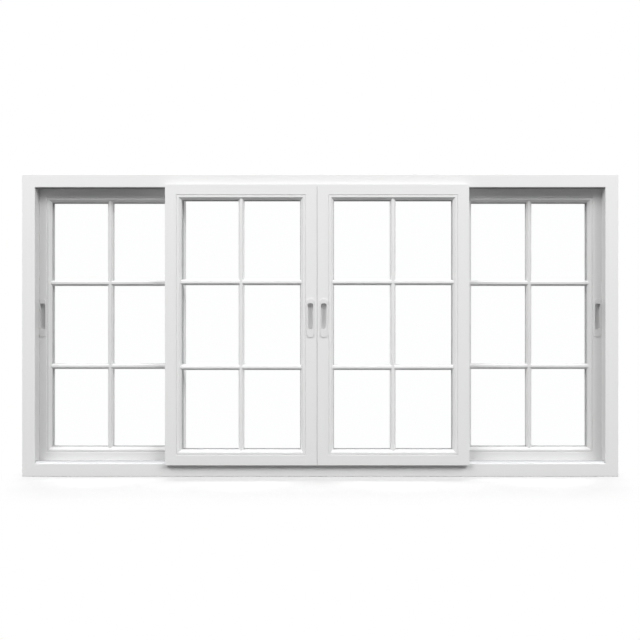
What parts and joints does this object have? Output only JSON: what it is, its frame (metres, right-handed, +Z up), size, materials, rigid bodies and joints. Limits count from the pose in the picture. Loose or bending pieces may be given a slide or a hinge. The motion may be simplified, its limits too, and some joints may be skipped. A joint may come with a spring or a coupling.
{
  "type": "horizontal sliding window",
  "caption": "White horizontal sliding window with glazing bars, side sashes behind a closed centre pair, flush finger pulls.",
  "frame": {"origin": "middle of the sill's flat underside", "axes": "+X to the right seen from the front, +Y away from the viewer through the glass, +Z up"},
  "size_m": [2.4, 0.127, 1.216],
  "materials": {
    "white_frame": "satin",
    "white_sash": "satin",
    "white_bead": "satin",
    "white_pull": "gloss",
    "clear_glass": "polished",
    "guide_grey": "matte",
    "seal_grey": "matte",
    "track_metal": "satin"
  },
  "bodies": {
    "root": {"frame_head": "white_frame", "frame_left_jamb": "white_frame", "frame_right_jamb": "white_frame", "frame_sill": "white_frame", "head_back_guide": "guide_grey", "head_front_guide": "guide_grey", "left_centre_back_bars": "white_bead", "left_centre_bead": "white_bead", "left_centre_bottom_rail": "white_sash", "left_centre_front_bars": "white_bead", "left_centre_glass": "clear_glass", "left_centre_meeting_stile": "white_sash", "left_centre_outer_stile": "white_sash", "left_centre_pull": "white_pull", "left_centre_top_rail": "white_sash", "left_side_back_bars": "white_bead", "left_side_bead": "white_bead", "left_side_bottom_rail": "white_sash", "left_side_front_bars": "white_bead", "left_side_glass": "clear_glass", "left_side_inner_stile": "white_sash", "left_side_outer_stile": "white_sash", "left_side_pull": "white_pull", "left_side_top_rail": "white_sash", "meeting_seal": "seal_grey", "right_centre_back_bars": "white_bead", "right_centre_bead": "white_bead", "right_centre_bottom_rail": "white_sash", "right_centre_front_bars": "white_bead", "right_centre_glass": "clear_glass", "right_centre_meeting_stile": "white_sash", "right_centre_outer_stile": "white_sash", "right_centre_pull": "white_pull", "right_centre_top_rail": "white_sash", "right_side_back_bars": "white_bead", "right_side_bead": "white_bead", "right_side_bottom_rail": "white_sash", "right_side_front_bars": "white_bead", "right_side_glass": "clear_glass", "right_side_inner_stile": "white_sash", "right_side_outer_stile": "white_sash", "right_side_pull": "white_pull", "right_side_top_rail": "white_sash", "sill_back_rail": "track_metal", "sill_front_rail": "track_metal"}
  },
  "joints": []
}
